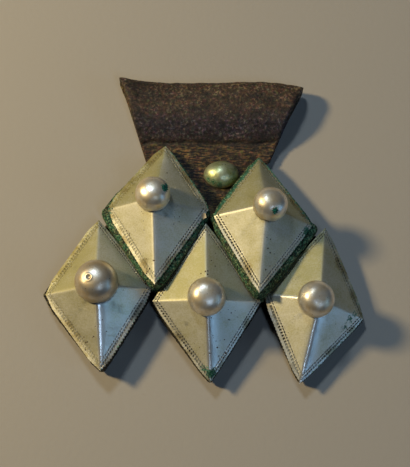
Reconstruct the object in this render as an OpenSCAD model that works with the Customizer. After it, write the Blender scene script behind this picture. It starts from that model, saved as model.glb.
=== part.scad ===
// Amulet pendant: five silver pyramids on leather lozenges under a folded leather sleeve.
// It lies on its back, the sleeve towards +Y and the bosses towards +Z. Sizes are millimetres.

/* [Plaques] */
// Height of a pyramid, from its rim to the point where its ridges meet
rise = 8.6; // [7.5:0.1:9.5]
// Thickness of the silver sheet
sheet = 0.7; // [0.5:0.1:1]
// Depth of the edge that is turned down round a plaque
turn_down = 0.5; // [0.3:0.1:0.8]

/* [Leather] */
// Thickness of the hide of the back panel, the sleeve and the tongue
hide = 1.4; // [1.2:0.1:1.5]
// How far the back panel stays in from the corners of the lozenges
panel_inset = 1.5; // [1:0.1:2]
// Radius of the pads' worn corners
pad_round = 0.8; // [0.5:0.1:1.2]

/* [Sleeve] */
// Width of the sleeve along its top fold
top_width = 49.8; // [46:0.2:51]
// Width at the low edge, where the tongue begins
low_width = 33.4; // [31:0.2:35]
// Thickness of the closed sleeve, from the surface it lies on to its front
sleeve_thick = 7.6; // [7.4:0.1:8.4]

/* [Stud] */
// Width of the oval head
stud_width = 9.5; // [8:0.1:9.8]
// Length of the oval head, up and down the tongue
stud_length = 7.6; // [6.4:0.1:8]
// Height of the head above the tongue
stud_rise = 3.4; // [2.5:0.1:4]
// Radius of the pin
pin_r = 1; // [0.8:0.1:1.4]

/* [Fit] */
// Gap between pieces that rest on each other
gap = 0.1; // [0.05:0.05:0.2]

/* [Hidden] */
$fn = 48;

hide_brown = "#3b2a20";
edge_green = "#1d4a33";
silver = "#b9b296";

// Rows of the tables below
upper_left = 0;
upper_right = 1;
lower_left = 2;
lower_middle = 3;
lower_right = 4;

// Corners of a lozenge, in the order of its outline
north = 0;
west = 1;
south = 2;
east = 3;

// Where each lozenge sits.
// Columns: x, y, height of the rim's middle, lean about X, lean about Y, turn about Z.
seats = [
    [-11.6,   2.8, 9.0,  -9, -5,  -3.0],
    [ 14.0,   0.0, 9.5, -12,  8,  -1.0],
    [-27.0, -18.1, 6.3,  -3, -3,   2.5],
    [  0.8, -20.4, 7.2,   5,  3,   1.5],
    [ 27.7, -20.6, 5.6,   3,  9, -10.5]];

// Outline of each plaque in its own plane.
// Columns: half length, reach to the west and to the east, height of the west and the east corner.
outlines = [
    [20.2, 13.9, 12.6,  1.0,  1.1],
    [20.2, 12.0, 14.0,  1.0,  0.4],
    [20.3, 14.0, 13.6,  0.6,  0.8],
    [20.6, 14.2, 13.6,  0.4, -0.2],
    [20.7, 12.9, 13.7, -0.3, -1.0]];

// Peak and boss of each plaque in its own plane.
// Columns: x and y of the peak, x, y and z of the boss's centre, radius of the boss.
peaks = [
    [-1.0,  0.1, -1.0,  1.2, 8.3, 4.50],
    [ 0.6,  0.9,  1.4,  0.9, 8.3, 4.40],
    [ 0.2, -0.1,  0.2,  1.0, 7.3, 5.50],
    [-0.8, -0.7, -0.8,  0.1, 8.1, 4.85],
    [-0.1, -0.5, -1.2, -0.5, 8.2, 4.65]];

// How far each pad stands out past the corners of its plaque, or stays in from them where negative.
// Columns: north, west, south, east.
lips = [
    [0.3, 1.5, 0.3, 0.4],
    [0.4, 0.3, 0.6, 0.9],
    [0.3, 0.9, -0.1, 0.1],
    [0.3, 0.4, 0.0, 0.3],
    [0.4, 0.1, 0.0, 0.3]];
flush = [0, 0, 0, 0];

// The upper pads are cut away over the lower ones, up to this height and by this much more
low_clear = 8.5;
low_reach = 0.4;

// Outer line of the sleeve's fold, seen from its open end: up the front from the low edge,
// round the top fold and back down behind. Columns: distance up the flap, height.
fold_front = [[0, 2 * hide], [3.6, 2 * hide], [4.8, 3.1], [6.0, 4.1], [7.8, 5.5], [10, 6.8]];
fold_crown = [[12.6, sleeve_thick], [16, sleeve_thick], [18.4, sleeve_thick - 0.2],
    [20.4, sleeve_thick - 1.0], [21.7, sleeve_thick - 2.3], [22.3, sleeve_thick - 3.9]];
fold_back = [[22.0, 2.1], [21.0, 0.8], [19.6, 0.15], [17.5, 0], [6.6, 0]];
fold_low = [0, 0];

// Where the two layers of hide come together below the channel
pinch = [5.0, hide + 0.3];
first_open = 3;

// Length of the flap from its low edge to the top fold, and where the low edge's middle is
flap_length = 22.3;
flap_low = [0.8, 19.6];
flap_top_x = 2.0;

// Shape of the flap, from its left edge to its right one.
// Columns: share of the width, how far the top edge stands up, how far the front is lifted.
flap_rows = [
    [0.00,  1.2,  1.2],
    [0.04,  1.1,  1.0],
    [0.09,  0.7,  0.5],
    [0.17,  0.3,  0.1],
    [0.27,  0.1,  0.0],
    [0.40,  0.0, -0.1],
    [0.52,  0.0,  0.0],
    [0.64,  0.3,  0.2],
    [0.76,  0.2,  0.3],
    [0.88, -0.2,  0.1],
    [0.96, -0.7,  0.0],
    [1.00, -1.1,  0.0]];

// Where the tongue runs down between the two upper lozenges, from its left side to its right one
tongue_sides = [[-10, 13.5], [-6, 7], [-1.6, 2.2], [2.6, 2.2], [7, 8], [12, 14]];
tongue_margin = 0.01;
stud_at = [4.4, 15.5, 2 * hide + gap];

// Middle of the whole outline, which is brought to the origin
middle = [-0.37, 1.07, 0];

// Taller or further than any piece, and the run of a cutting tool past the surface it cuts
beyond = 60;
over = 1;

function turn_x(a) = [[1, 0, 0], [0, cos(a), -sin(a)], [0, sin(a), cos(a)]];
function turn_y(a) = [[cos(a), 0, sin(a)], [0, 1, 0], [-sin(a), 0, cos(a)]];
function turn_z(a) = [[cos(a), -sin(a), 0], [sin(a), cos(a), 0], [0, 0, 1]];
function spun(v, a) = [v[0] * cos(a) - v[1] * sin(a), v[0] * sin(a) + v[1] * cos(a)];
function unit(v) = v / norm(v);

// A point in a lozenge's own plane, carried to its seat
function placed(i, p) = let(s = seats[i])
    turn_x(s[3]) * turn_y(s[4]) * turn_z(s[5]) * p + [s[0], s[1], s[2]];

// Corners of a plaque in its own plane
function corners(i) = let(o = outlines[i]) [[0, o[0]], [-o[1], o[3]], [0, -o[0]], [o[2], o[4]]];

// The corners of a lozenge in plan, each one moved out by its own reach
function plan(i, reach) = [for (k = [north:east])
    let(c = corners(i)[k], p = placed(i, concat(c + unit(c) * reach[k], 0))) [p[0], p[1]]];

// A corner of a lozenge in plan, drawn in towards its middle
function drawn_in(i, k) = let(p = plan(i, flush)[k], m = [seats[i][0], seats[i][1]])
    p + unit(m - p) * panel_inset;

// A closed outline with each corner drawn as an arc of radius r
function rounded(points, r, steps = 4) = let(n = len(points)) [for (k = [0:n - 1])
    let(corner = points[k],
        before = unit(points[(k + n - 1) % n] - corner),
        after = unit(points[(k + 1) % n] - corner),
        half = acos(before * after) / 2,
        centre = corner + unit(before + after) * r / sin(half),
        start = corner + before * r / tan(half) - centre)
    for (j = [0:steps]) centre + spun(start, (180 - 2 * half) * j / steps)];

// An open line moved sideways by t, to the right of its direction
function aside(line, t) = let(last = len(line) - 1) [for (k = [0:last])
    let(before = unit(line[max(k, 1)] - line[max(k, 1) - 1]),
        after = unit(line[min(k, last - 1) + 1] - line[min(k, last - 1)]),
        side = unit(spun(before, -90) + spun(after, -90)))
    line[k] + side * t / (side * spun(after, -90))];

// A closed outline moved outwards by t, where it runs counterclockwise
function grown(points, t) = let(n = len(points),
    line = aside(concat([points[n - 1]], points, [points[0]]), t)) [for (k = [1:n]) line[k]];

// The outline of the panel runs round the five lozenges and across under the sleeve
panel = [
    drawn_in(upper_left, north), drawn_in(upper_left, west),
    drawn_in(lower_left, north), drawn_in(lower_left, west), drawn_in(lower_left, south),
    drawn_in(upper_left, south), drawn_in(lower_middle, south), drawn_in(upper_right, south),
    drawn_in(lower_right, south), drawn_in(lower_right, east), drawn_in(lower_right, north),
    drawn_in(upper_right, east), drawn_in(upper_right, north)];

fold = concat(fold_front, fold_crown, fold_back, [fold_low]);
channel = concat([pinch], aside(concat([for (k = [first_open:len(fold_front) - 1]) fold_front[k]],
    fold_crown, fold_back), hide));

// A point of the flap in plan, by its share of the width and its distance from the low edge
function on_flap(across, up) = let(share = up / flap_length) [
    flap_low[0] + (flap_top_x - flap_low[0]) * share
        + (across - 0.5) * (low_width + (top_width - low_width) * share),
    flap_low[1] + up];

// The tongue's outline, which starts where the two layers of the sleeve meet
tongue_top = fold_front[1][0];
tongue = concat([on_flap(tongue_margin, tongue_top), on_flap(tongue_margin, 0)], tongue_sides,
    [on_flap(1 - tongue_margin, 0), on_flap(1 - tongue_margin, tongue_top)]);

// One section of the flap, on the line that fans out from the low edge to the top fold.
// The lift raises the front layer, and grows from the low edge to the top.
function flap_section(row, line) = [for (p = line)
    let(up = p[0] * (flap_length + row[1]) / flap_length,
        front = min(1, max(0, p[1] / hide - 1) / 3))
    concat(on_flap(row[0], up), p[1] + row[2] * front * up / flap_length)];

// The rows of the flap, run on past both open ends by a share of the width
function run_on(rows, share) = let(last = rows[len(rows) - 1]) concat(
    [[-share, rows[0][1], rows[0][2]]], rows, [[1 + share, last[1], last[2]]]);

// A closed skin through sections that all have the same number of points
module loft(sections) {
    n = len(sections[0]);
    last = len(sections) - 1;
    polyhedron(
        points = [for (section = sections) for (p = section) p],
        faces = concat(
            [[for (k = [n - 1:-1:0]) k]],
            [[for (k = [0:n - 1]) last * n + k]],
            [for (r = [0:last - 1]) for (k = [0:n - 1])
                [r * n + k, r * n + (k + 1) % n, (r + 1) * n + (k + 1) % n, (r + 1) * n + k]]),
        convexity = 6);
}

// The fold of hide that the neck cord runs through, open at both ends
module sleeve() {
    difference() {
        loft([for (row = flap_rows) flap_section(row, fold)]);
        loft([for (row = run_on(flap_rows, 0.04)) flap_section(row, channel)]);
    }
}

module leather_backing() {
    color(hide_brown)
    translate(-middle)
    difference() {
        union() {
            linear_extrude(hide) polygon(panel);
            translate([0, 0, hide / 2]) linear_extrude(1.5 * hide) polygon(tongue);
            sleeve();
        }
        translate([stud_at[0], stud_at[1], -over]) cylinder(h = 2 * hide + 2 * over, r = pin_r + gap);
    }
}

// Moves a shape made in a lozenge's own plane to its seat
module seated(i) {
    translate([seats[i][0], seats[i][1], seats[i][2]])
        rotate([seats[i][3], 0, 0]) rotate([0, seats[i][4], 0]) rotate([0, 0, seats[i][5]])
            children();
}

// A leather wedge: flat on the panel, its top cut to the lean of its plaque
module pad(i) {
    color(edge_green)
    translate(-middle)
    difference() {
        intersection() {
            translate([0, 0, hide + gap])
                linear_extrude(beyond) polygon(rounded(plan(i, lips[i]), pad_round));
            seated(i) translate([-beyond, -beyond, -beyond - turn_down - gap])
                cube([2 * beyond, 2 * beyond, beyond]);
        }
        if (i <= upper_right) {
            linear_extrude(2 * hide + gap) polygon(grown(tongue, gap));
            for (k = [lower_left:lower_right])
                linear_extrude(low_clear) polygon(grown(plan(k, lips[k]), low_reach));
        }
    }
}

// A pyramid on a plaque's outline, with a straight foot below the rim.
// The share shrinks its plan and the drop lowers its peak.
module pyramid(i, share, drop, foot) {
    base = corners(i) * share;
    polyhedron(
        points = concat(
            [for (c = base) [c[0], c[1], -foot]],
            [for (c = base) [c[0], c[1], 0]],
            [[peaks[i][0] * share, peaks[i][1] * share, rise - drop]]),
        faces = concat(
            [[north, west, south, east]],
            [for (k = [north:east]) [k, k + 4, (k + 1) % 4 + 4, (k + 1) % 4]],
            [for (k = [north:east]) [k + 4, 8, (k + 1) % 4 + 4]]));
}

// A hollow pyramid of sheet with a hollow boss soldered on its peak
module plaque(i) {
    half_width = (outlines[i][1] + outlines[i][2]) / 2;
    inner_r = outlines[i][0] * half_width / norm([outlines[i][0], half_width]);
    slope = atan(rise / inner_r);
    boss = [peaks[i][2], peaks[i][3], peaks[i][4]];
    boss_r = peaks[i][5];
    color(silver)
    translate(-middle)
    seated(i)
    difference() {
        union() {
            pyramid(i, 1, 0, turn_down);
            translate(boss) sphere(r = boss_r);
        }
        pyramid(i, 1 - sheet / (inner_r * sin(slope)), sheet / cos(slope), turn_down + over);
        translate(boss) sphere(r = boss_r - sheet);
    }
}

// An oval head on a pin that runs down through the tongue and the panel
module stud() {
    color(silver)
    translate(stud_at - middle) {
        intersection() {
            scale([stud_width / 2, stud_length / 2, stud_rise]) sphere(r = 1, $fn = 32);
            translate([-beyond / 2, -beyond / 2, 0]) cube(beyond);
        }
        translate([0, 0, gap - stud_at[2]]) cylinder(h = stud_at[2] + stud_rise / 2, r = pin_r);
    }
}

leather_backing();
pad(upper_left);  // pad_upper_left
pad(upper_right);  // pad_upper_right
pad(lower_left);  // pad_lower_left
pad(lower_middle);  // pad_lower_middle
pad(lower_right);  // pad_lower_right
plaque(upper_left);  // plaque_upper_left
plaque(upper_right);  // plaque_upper_right
plaque(lower_left);  // plaque_lower_left
plaque(lower_middle);  // plaque_lower_middle
plaque(lower_right);  // plaque_lower_right
stud();
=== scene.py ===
import math

import bmesh
import bpy
from mathutils import Matrix, Vector, noise
from mathutils.bvhtree import BVHTree


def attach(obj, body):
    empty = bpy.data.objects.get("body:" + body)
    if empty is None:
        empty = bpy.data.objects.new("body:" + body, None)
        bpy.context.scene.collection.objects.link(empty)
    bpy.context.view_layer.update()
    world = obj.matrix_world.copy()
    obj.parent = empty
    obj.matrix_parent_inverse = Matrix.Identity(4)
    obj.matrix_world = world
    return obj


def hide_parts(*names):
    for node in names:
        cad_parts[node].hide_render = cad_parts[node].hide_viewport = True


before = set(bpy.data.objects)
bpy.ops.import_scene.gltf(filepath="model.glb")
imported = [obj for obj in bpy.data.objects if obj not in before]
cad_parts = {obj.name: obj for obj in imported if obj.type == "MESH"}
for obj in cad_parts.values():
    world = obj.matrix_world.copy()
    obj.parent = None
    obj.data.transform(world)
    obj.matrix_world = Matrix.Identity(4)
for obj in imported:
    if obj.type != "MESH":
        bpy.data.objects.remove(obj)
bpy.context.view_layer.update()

mm = 0.001  # meshes are shaped in millimetres and brought to metres when a piece is finished
farOff = 9  # millimetres, past the reach of every mark that a mesh carries
scene = bpy.context.scene


def linearColour(hexValue):
    parts = [int(hexValue[k:k + 2], 16) / 255 for k in (1, 3, 5)]
    return [p / 12.92 if p <= 0.04045 else ((p + 0.055) / 1.055) ** 2.4 for p in parts] + [1.0]


def addNode(tree, kind, inputs=None, **settings):
    # an input is a number, a vector, a hex colour, a socket, or a node, which gives its own output
    node = tree.nodes.new("ShaderNode" + kind)
    for name, value in settings.items():
        setattr(node, name, value)
    for name, value in (inputs or {}).items():
        if isinstance(value, bpy.types.Node):
            value = next(socket for socket in value.outputs if socket.enabled)
        if isinstance(value, bpy.types.NodeSocket):
            tree.links.new(value, node.inputs[name])
        else:
            node.inputs[name].default_value = linearColour(value) if isinstance(value, str) else value
    return node


noiseInputs = ("Vector", "Scale", "Detail", "Roughness", "Distortion")
rampInputs = ("Value", "From Min", "From Max", "To Min", "To Max")


def addNodes(tree, kind, names, rows, **settings):
    # nodes of one kind, each with a row of values for these inputs; a short row leaves the rest alone
    return [addNode(tree, kind, dict(zip(names, row)), **settings) for row in rows]


def newMaterial(name, layers=()):
    # layers are what the mesh carries for it, and each one comes back as an output
    material = bpy.data.materials.new(name)
    material.use_nodes = True
    tree = material.node_tree
    tree.nodes.clear()
    place = addNode(tree, "TexCoord").outputs["Object"]
    carried = [addNode(tree, "Attribute", attribute_name=layer).outputs["Fac"] for layer in layers]
    return material, tree, place, carried


def finishMaterial(material, relief, deep, surface, strength=1.0):
    # the relief becomes a bump this many millimetres deep, and the shader goes to the output
    tree = material.node_tree
    bump = addNode(tree, "Bump", {"Height": relief, "Distance": deep * mm, "Strength": strength})
    shader = addNode(tree, "BsdfPrincipled", {**surface, "Normal": bump})
    addNode(tree, "OutputMaterial", {"Surface": shader})
    return material


def sized(millimetres):
    # a noise or cell scale whose features are about this wide
    return 1 / (millimetres * mm)


def layColours(tree, colour, coats):
    # lays each coat over the last where its mask is white
    for mask, coat in coats:
        colour = addNode(tree, "Mix", {0: mask, 6: colour, 7: coat}, data_type="RGBA")
    return colour


def clamped(value):
    return max(0.0, min(1.0, value))


def bell(distance, reach):
    return math.exp(-(distance / reach) ** 2)


def smoothNoise(x, y, z, width, seed):
    return noise.noise(Vector((x / width + seed, y / width - seed, z / width + 2 * seed)))


def unevenness(point, layers, seed):
    # layers of noise, each with its width and depth
    return sum(deep * smoothNoise(*point, wide, seed) for wide, deep in layers)


def finishPiece(bm, name, materials, slotName, *nodes):
    # brings a mesh to metres, makes its object and hides the CAD nodes it stands for
    bmesh.ops.transform(bm, matrix=Matrix.Scale(mm, 4), verts=bm.verts)
    mesh = bpy.data.meshes.new(name)
    bm.to_mesh(mesh)
    bm.free()
    for material in materials:
        mesh.materials.append(material)
    piece = bpy.data.objects.new(name, mesh)
    scene.collection.objects.link(piece)
    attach(piece, "root")
    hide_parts(*nodes)
    print(f"{name}: {len(mesh.polygons)} faces")
    return piece


def remeshed(node, voxel):
    # a merged copy of a CAD node as one even skin of small squares, in millimetres
    bm = bmesh.new()
    bm.from_mesh(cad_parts[node].data)
    bmesh.ops.remove_doubles(bm, verts=bm.verts, dist=0.002 * mm)
    bmesh.ops.transform(bm, matrix=Matrix.Scale(1 / mm, 4), verts=bm.verts)
    mesh = bpy.data.meshes.new("draft")
    bm.to_mesh(mesh)
    bm.free()
    draft = bpy.data.objects.new("draft", mesh)
    scene.collection.objects.link(draft)
    remesh = draft.modifiers.new("skin", "REMESH")
    remesh.mode = "VOXEL"
    remesh.voxel_size = voxel
    remesh.adaptivity = 0
    bm = bmesh.new()
    bm.from_object(draft, bpy.context.evaluated_depsgraph_get())
    bpy.data.objects.remove(draft)
    bpy.data.meshes.remove(mesh)
    return bm


# Camera, as the photograph was taken: nearly from above, from a little below the tips
camera = {
    "target": (0.37, -1.07, 0),  # floor point in the middle of the picture
    "distance": 300,
    "tilt": 17,  # degrees from straight down
    "lens": 86.77,
    "sensor": 36,
}
tilt = math.radians(camera["tilt"])
eye = Vector(camera["target"]) + Vector((0, -math.sin(tilt), math.cos(tilt))) * camera["distance"]
cameraData = bpy.data.cameras.new("camera")
cameraData.lens = camera["lens"]
cameraData.sensor_width = camera["sensor"]
cameraData.clip_start = 0.01
cameraData.clip_end = 20
cameraObject = bpy.data.objects.new("camera", cameraData)
cameraObject.location = eye * mm
cameraObject.rotation_euler = (tilt, 0, 0)
scene.collection.objects.link(cameraObject)
scene.camera = cameraObject
print("camera placed")


def growVerdigris(tree, green, grain, look):
    # a green crust where the mesh asks for it, ragged by the grain and paler in its crumbs
    crust = addNode(tree, "Math", {0: green, 1: grain}, operation="ADD")
    crust = addNode(tree, "Math", {0: crust, 1: 0.95}, operation="SUBTRACT")
    mask, crumbs = addNodes(tree, "MapRange", rampInputs, (
        (crust, 0.0, look["crustSoft"]), (grain, 0.5, look["crumbs"])))
    return mask, layColours(tree, look["green"], [(crumbs, look["paleGreen"])])


# What each corner of a plaque's mesh carries for the material. In millimetres: distance from the rim,
# from the nearest ridge and from the boss. As shares: how polished that ridge is and how much painted
# highlight it carries, how clear the tooled rows are, the floor of a dash, verdigris, yellow speckle along
# the border, olive tarnish, grey painted shade, and how far handling has bared the border.
plaqueLayers = (
    "rim", "ridge", "polishAndSheen", "seam", "tooled", "dash", "green", "gilt", "aged", "facetShade", "handled")


# Sheet silver, beaten over a form and tooled, then worn and tarnished for decades.
# Satin metal, olive-yellow where it has tarnished, grey with painted shade on some facets, pale and brighter
# along the border and the ridges that were handled, the polished ridges partly as a painted highlight, black
# in the tooled dashes and green where verdigris has come up from below.
def makeSheetSilver():
    look = {
        "clean": "#e2dfd0", "tarnish": "#c6c08f", "shadeGrey": "#6b6a62", "bare": "#f5f2e8", "gilt": "#9c8f3a",
        "stain": "#877443", "rust": "#4a2f1a", "soot": "#15130d", "green": "#1c5a41", "paleGreen": "#86b89a",
        # widths of the patterns, and depth of the bump, in millimetres
        "cloud": 7.0, "grain": 0.7, "speckle": 0.4, "scratchWide": 0.22, "scratchLong": 5.0,
        "pitCell": 1.3, "pitPatch": 9.0, "bump": 0.03,
        "scratchTurns": (0.6, -1.1),  # radians
        # in millimetres from the rim, with half widths and soft edges
        "rowMiddles": (0.62, 1.30), "rowHalf": 0.26, "rowCore": 0.104, "border": 1.75, "borderIn": 1.5,
        "crustSoft": 0.12, "crumbs": 0.72,
        "rough": 0.38, "roughTarnish": 0.64, "roughBorder": 0.4, "roughBare": 0.27, "roughRubbed": 0.3,
        "roughGrime": 0.85, "metal": 0.82, "metalBare": 0.68, "metalGrime": 0.1,
    }
    material, tree, place, carried = newMaterial("tarnished_sheet_silver", plaqueLayers)
    rim, ridge, polishAndSheen, seam, tooled, dash, green, gilt, aged, facetShade, handled = carried
    cloud, grain, speckle = addNodes(tree, "TexNoise", noiseInputs, [
        (place, sized(look[name]), detail, fine)
        for name, detail, fine in (("cloud", 5.0, 0.6), ("grain", 3.0, 0.7), ("speckle", 2.0, 0.6))])
    # polishing scratches run in two directions
    scratches = []
    for turn in look["scratchTurns"]:
        size = [sized(look[name]) for name in ("scratchLong", "scratchWide", "scratchLong")]
        run = addNode(tree, "Mapping", {"Vector": place, "Rotation": (0, 0, turn), "Scale": size})
        streak = addNode(tree, "TexNoise", {"Vector": run, "Scale": 1.0, "Detail": 2.0})
        scratches.append(addNode(tree, "MapRange", {"Value": streak, "From Min": 0.62, "From Max": 0.72}))
    scratch = addNode(tree, "Math", {0: scratches[0], 1: scratches[1]}, operation="MAXIMUM")
    # small corroded pits, thin on the ground and gathered in places
    cell = addNode(tree, "TexVoronoi", {"Vector": place, "Scale": sized(look["pitCell"])})
    gathered = addNode(tree, "TexNoise", {"Vector": place, "Scale": sized(look["pitPatch"]), "Detail": 1.0})
    # where each pattern begins and ends, and what it gives there if not 0 and 1
    sparse, clouded, speckled, broken, patchy, shadeCloud, spotted, flecks = addNodes(
        tree, "MapRange", rampInputs, (
            (gathered, 0.46, 0.68, 0.03, 0.19), (cloud, 0.35, 0.68, -0.2, 0.35),
            (speckle, 0.42, 0.62, -0.15, 0.25), (grain, 0.24, 0.36), (grain, 0.3, 0.6, 0.35, 0.9),
            (cloud, 0.35, 0.6, 0.7, 1.1), (speckle, 0.4, 0.58), (speckle, 0.44, 0.56)))
    # the same for what the mesh carries, which fades softly: distances are in millimetres
    worn, edging, rubbed, seamGrimeAndShade, gilded = addNodes(
        tree, "MapRange", rampInputs, (
            (ridge, 0.7, 0.3), (rim, look["border"], look["borderIn"]), (ridge, 4.6, 0.4),
            (seam, 0.4, 0.05, 0.0, 0.5), (rim, 2.7, 1.2)), interpolation_type="SMOOTHSTEP")
    untarnished, rimward, rough = addNodes(tree, "MapRange", rampInputs, (
        (aged, 0.24, 0.12), (rim, 2.6, 0.4, 0.0, 0.22),
        (aged, 0.0, 0.3, look["rough"], look["roughTarnish"])))
    pit = addNode(tree, "Math", {0: sparse, 1: cell}, operation="SUBTRACT")
    pit = addNode(tree, "MapRange", {"Value": pit, "From Min": 0.0, "From Max": 0.05})
    # tarnish follows the facet's age, in clouds and speckles
    tarnished = addNode(tree, "Math", {0: clouded, 1: speckled}, operation="ADD")
    tarnished = addNode(tree, "Math", {0: tarnished, 1: aged}, operation="ADD", use_clamp=True)
    # handled parts are bare: some of the ridges, where the pale colour is partly a painted highlight, and the
    # border in patches
    for share in (broken, polishAndSheen):
        worn = addNode(tree, "Math", {0: worn, 1: share}, operation="MULTIPLY")
    for share in (patchy, handled):
        edging = addNode(tree, "Math", {0: edging, 1: share}, operation="MULTIPLY")
    bare = addNode(tree, "Math", {0: worn, 1: edging}, operation="MAXIMUM")
    # beside those ridges the sheet is rubbed smoother and painted paler, partly a painted sheen, where it
    # isn't tarnished
    for share in (polishAndSheen, untarnished):
        rubbed = addNode(tree, "Math", {0: rubbed, 1: share}, operation="MULTIPLY")
    # grey painted shade, in clouds, on the facets that carry it
    shadedFacet = addNode(tree, "Math", {0: facetShade, 1: shadeCloud}, operation="MULTIPLY")
    # grime lies in the two tooled rows and most of all in their dashes
    rows = []
    for at in look["rowMiddles"]:
        off = addNode(tree, "Math", {0: rim, 1: at}, operation="SUBTRACT")
        off = addNode(tree, "Math", {0: off}, operation="ABSOLUTE")
        fade = {"Value": off, "From Min": look["rowHalf"], "From Max": look["rowCore"]}
        rows.append(addNode(tree, "MapRange", fade, interpolation_type="SMOOTHSTEP"))
    row = addNode(tree, "Math", {0: rows[0], 1: rows[1]}, operation="MAXIMUM")
    kept = addNode(tree, "Math", {0: tooled, 1: 0.6}, operation="MULTIPLY")
    for share in (kept, spotted):
        row = addNode(tree, "Math", {0: row, 1: share}, operation="MULTIPLY")
    # at the boss's foot the dark is grime and partly painted contact shade
    grimeAndContactShade = addNode(tree, "Math", {0: seamGrimeAndShade, 1: row}, operation="MAXIMUM")
    grimeAndContactShade = addNode(tree, "Math", {0: grimeAndContactShade, 1: dash}, operation="MAXIMUM", use_clamp=True)
    # yellow speckle and brown stains towards the rim
    for share in (gilt, flecks):
        gilded = addNode(tree, "Math", {0: gilded, 1: share}, operation="MULTIPLY")
    stain = addNode(tree, "Math", {0: cloud, 1: rimward}, operation="ADD")
    stain = addNode(tree, "MapRange", {"Value": stain, "From Min": 0.65, "From Max": 0.84, "To Max": 0.7},
                    interpolation_type="SMOOTHSTEP")
    verdigris, greenTone = growVerdigris(tree, green, grain, look)
    colour = layColours(tree, look["clean"], [
        (tarnished, look["tarnish"]), (shadedFacet, look["shadeGrey"]), (rubbed, look["bare"]), (bare, look["bare"]),
        (stain, look["stain"]), (gilded, look["gilt"]), (pit, look["rust"]), (grimeAndContactShade, look["soot"]),
        (verdigris, greenTone)])
    dull = addNode(tree, "Math", {0: grimeAndContactShade, 1: verdigris}, operation="MAXIMUM")
    metal = addNode(tree, "MapRange", {"Value": dull, "To Min": look["metal"], "To Max": look["metalGrime"]})
    metal = addNode(tree, "Mix", {0: worn, 2: metal, 3: look["metalBare"]})
    for mask, kind in (
            (rubbed, "roughRubbed"), (edging, "roughBorder"), (worn, "roughBare"), (dull, "roughGrime")):
        rough = addNode(tree, "Mix", {0: mask, 2: rough, 3: look[kind]})
    cuts = addNode(tree, "Math", {0: scratch, 1: 0.35}, operation="MULTIPLY")
    relief = grain
    for hollow in (cuts, pit):
        relief = addNode(tree, "Math", {0: relief, 1: hollow}, operation="SUBTRACT")
    surface = {"Base Color": colour, "Metallic": metal, "Roughness": rough}
    return finishMaterial(material, relief, look["bump"], surface)


# Raised silver, polished by wear: the bosses, and the stud, which is greener and more scuffed
bossLook = {
    "name": "polished_boss_silver",
    "bright": "#fbf3e3", "warm": "#e6d3b0", "dim": "#a08d70", "soot": "#2a1d14", "green": "#0c4f3c",
    "paleGreen": "#2f9a7c", "crustSoft": 0.15, "crumbs": 0.68,
    "cloud": 3.0, "grain": 0.45, "pitCell": 1.6, "bump": 0.02,  # in millimetres
    "pitWide": 0.10,  # as a share of its cell
    "rough": 0.35, "roughWarm": 0.46, "roughGrime": 0.75, "metal": 0.76, "metalGrime": 0.15,
}
studLook = {
    **bossLook,
    "name": "scuffed_stud_silver",
    "bright": "#e2e8bc", "warm": "#a8b076", "dim": "#8f9566", "soot": "#221c12", "green": "#1a5a3c",
    "paleGreen": "#a4c89c",
    "cloud": 2.2, "grain": 0.4, "pitCell": 1.1, "pitWide": 0.14,
    "rough": 0.36, "roughWarm": 0.52, "metal": 0.8,
}


def makePolishedSilver(look):
    material, tree, place, (seam, green, aged) = newMaterial(look["name"], ("seam", "green", "aged"))
    cloud, grain = addNodes(tree, "TexNoise", noiseInputs, (
        (place, sized(look["cloud"]), 5.0, 0.6), (place, sized(look["grain"]), 3.0)))
    cell = addNode(tree, "TexVoronoi", {"Vector": place, "Scale": sized(look["pitCell"])})
    # darker near the foot of a boss or the stud: grime, and partly painted contact shade
    warm, grimeAndContactShade = addNodes(tree, "MapRange", rampInputs, (
        (cloud, 0.38, 0.66), (seam, 0.6, 0.15, 0.0, 0.85)), interpolation_type="SMOOTHSTEP")
    pit, rough = addNodes(tree, "MapRange", rampInputs, (
        (cell, look["pitWide"], look["pitWide"] * 0.5, 0.0, 0.7),
        (cloud, 0.35, 0.7, look["rough"], look["roughWarm"])))
    verdigris, greenTone = growVerdigris(tree, green, grain, look)
    colour = layColours(tree, look["bright"], [
        (warm, look["warm"]), (aged, look["dim"]), (pit, look["soot"]), (grimeAndContactShade, look["soot"]),
        (verdigris, greenTone)])
    dull = addNode(tree, "Math", {0: grimeAndContactShade, 1: verdigris}, operation="MAXIMUM")
    metal = addNode(tree, "MapRange", {"Value": dull, "To Min": look["metal"], "To Max": look["metalGrime"]})
    rough = addNode(tree, "Mix", {0: dull, 2: rough, 3: look["roughGrime"]})
    relief = addNode(tree, "Math", {0: grain, 1: pit}, operation="SUBTRACT")
    surface = {"Base Color": colour, "Metallic": metal, "Roughness": rough}
    return finishMaterial(material, relief, look["bump"], surface)
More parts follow.
